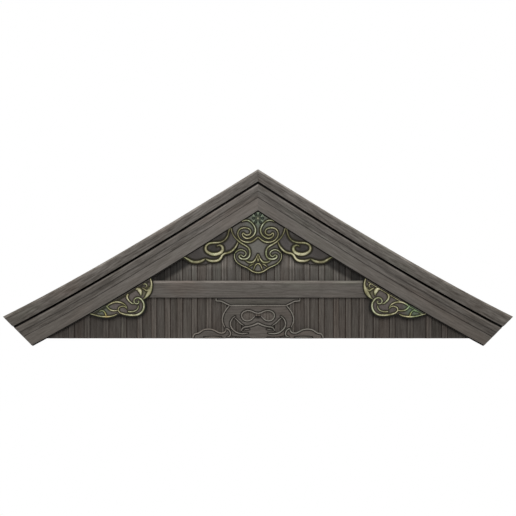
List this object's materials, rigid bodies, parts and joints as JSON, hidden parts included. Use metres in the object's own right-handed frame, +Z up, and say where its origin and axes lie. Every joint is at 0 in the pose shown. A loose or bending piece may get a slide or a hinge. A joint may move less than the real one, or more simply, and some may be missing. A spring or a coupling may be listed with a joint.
{
  "type": "timber gable pediment section",
  "caption": "Triangular timber gable end: boarded wall with tie beam and carved strut under curved bargeboards, hung with gilded scroll pendants.",
  "frame": {"origin": "on the flat back of the wall, at the middle of its bottom edge", "axes": "+X to the right across the gable seen from the front, +Y out of the flat back into the building, +Z up; the carved front faces -Y"},
  "size_m": [5.4, 0.15, 1.8724],
  "materials": {
    "roof_edge_wood": "matte",
    "wall_wood": "matte",
    "beam_wood": "matte",
    "strut_wood": "matte",
    "carved_ground": "matte",
    "gilding": "satin",
    "green_bronze": "matte"
  },
  "bodies": {
    "root": {"gable_pendant": "carved_ground", "pendant_boss": "green_bronze", "tie_beam": "beam_wood", "frog_leg_strut": "strut_wood", "strut_plate": "strut_wood", "middle_board": "wall_wood", "middle_batten": "wall_wood", "verge_board_left": "roof_edge_wood", "verge_board_right": "roof_edge_wood", "bargeboard_left": "roof_edge_wood", "bargeboard_right": "roof_edge_wood", "pendant_fin_left": "carved_ground", "pendant_fin_right": "carved_ground", "corner_pendant_left": "carved_ground", "corner_pendant_right": "carved_ground", "wall_board_left_1": "wall_wood", "wall_board_left_2": "wall_wood", "wall_board_left_3": "wall_wood", "wall_board_left_4": "wall_wood", "wall_board_left_5": "wall_wood", "wall_board_left_6": "wall_wood", "wall_board_left_7": "wall_wood", "wall_board_left_8": "wall_wood", "wall_board_left_9": "wall_wood", "wall_board_left_10": "wall_wood", "wall_board_left_11": "wall_wood", "wall_board_left_12": "wall_wood", "wall_board_left_13": "wall_wood", "wall_board_right_1": "wall_wood", "wall_board_right_2": "wall_wood", "wall_board_right_3": "wall_wood", "wall_board_right_4": "wall_wood", "wall_board_right_5": "wall_wood", "wall_board_right_6": "wall_wood", "wall_board_right_7": "wall_wood", "wall_board_right_8": "wall_wood", "wall_board_right_9": "wall_wood", "wall_board_right_10": "wall_wood", "wall_board_right_11": "wall_wood", "wall_board_right_12": "wall_wood", "wall_board_right_13": "wall_wood", "batten_left_2": "wall_wood", "batten_left_3": "wall_wood", "batten_left_4": "wall_wood", "batten_left_5": "wall_wood", "batten_left_6": "wall_wood", "batten_left_7": "wall_wood", "batten_left_8": "wall_wood", "batten_left_9": "wall_wood", "batten_left_10": "wall_wood", "batten_right_2": "wall_wood", "batten_right_3": "wall_wood", "batten_right_4": "wall_wood", "batten_right_5": "wall_wood", "batten_right_6": "wall_wood", "batten_right_7": "wall_wood", "batten_right_8": "wall_wood", "batten_right_9": "wall_wood", "batten_right_10": "wall_wood"}
  },
  "joints": []
}
